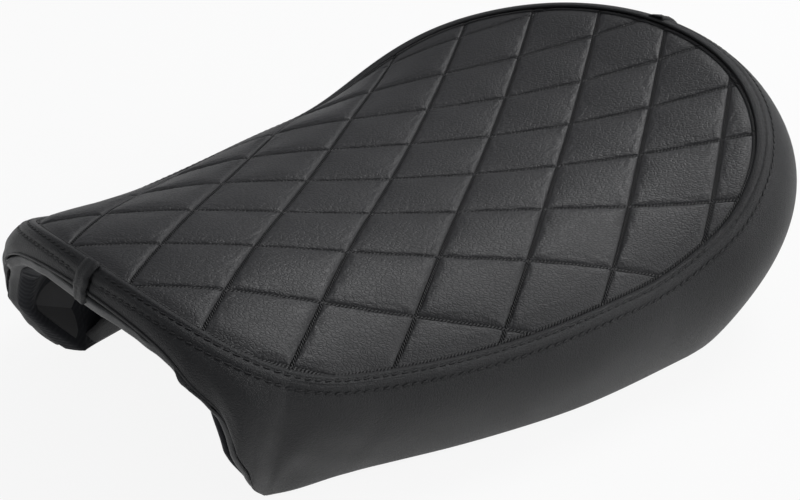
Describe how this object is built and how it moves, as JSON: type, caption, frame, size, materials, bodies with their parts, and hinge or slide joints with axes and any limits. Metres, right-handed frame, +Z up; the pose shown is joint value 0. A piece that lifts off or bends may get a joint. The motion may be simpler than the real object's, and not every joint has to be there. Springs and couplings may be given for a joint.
{
  "type": "motorcycle seat",
  "caption": "Solo motorcycle seat with a quilted padded top, smooth side bands that form an arch at the front, and a moulded pan with a front tongue and rear nuts.",
  "frame": {"origin": "in the plane of the rim's lower edge, under the middle of the seat's length and on its centre line", "axes": "+X forward to the nose, +Y to the rider's left, +Z up"},
  "size_m": [0.4592, 0.3362, 0.1319],
  "materials": {
    "quilted_vinyl": "coarse grained, satin",
    "band_vinyl": "fine grained, satin",
    "foam": "open-cell foam, matt",
    "pan_plastic": "moulded, fine spark texture",
    "lining_cloth": "woven backing, matt",
    "rivet_metal": "blind rivets, satin",
    "coated_steel": "black powder coat",
    "zinc_steel": "bright zinc plate",
    "insert_brass": "turned",
    "buffer_rubber": "moulded, matt"
  },
  "bodies": {
    "root": {"quilted_panel": "quilted_vinyl", "band_left": "band_vinyl", "band_right": "band_vinyl", "front_seam_fold": "band_vinyl", "rear_seam_fold": "band_vinyl", "front_facing": "band_vinyl", "foam_core": "foam", "seat_pan": "pan_plastic", "arch_lining": "lining_cloth", "hem_rivets": "rivet_metal", "front_tongue": "coated_steel", "rear_bracket_left": "coated_steel", "rear_bracket_right": "coated_steel", "rear_nut_left": "zinc_steel", "rear_nut_right": "zinc_steel", "bracket_bolts": "zinc_steel", "bracket_washers": "zinc_steel", "pan_inserts": "insert_brass", "buffer_front_left": "buffer_rubber", "buffer_front_right": "buffer_rubber", "buffer_rear_left": "buffer_rubber", "buffer_rear_right": "buffer_rubber"}
  },
  "joints": []
}
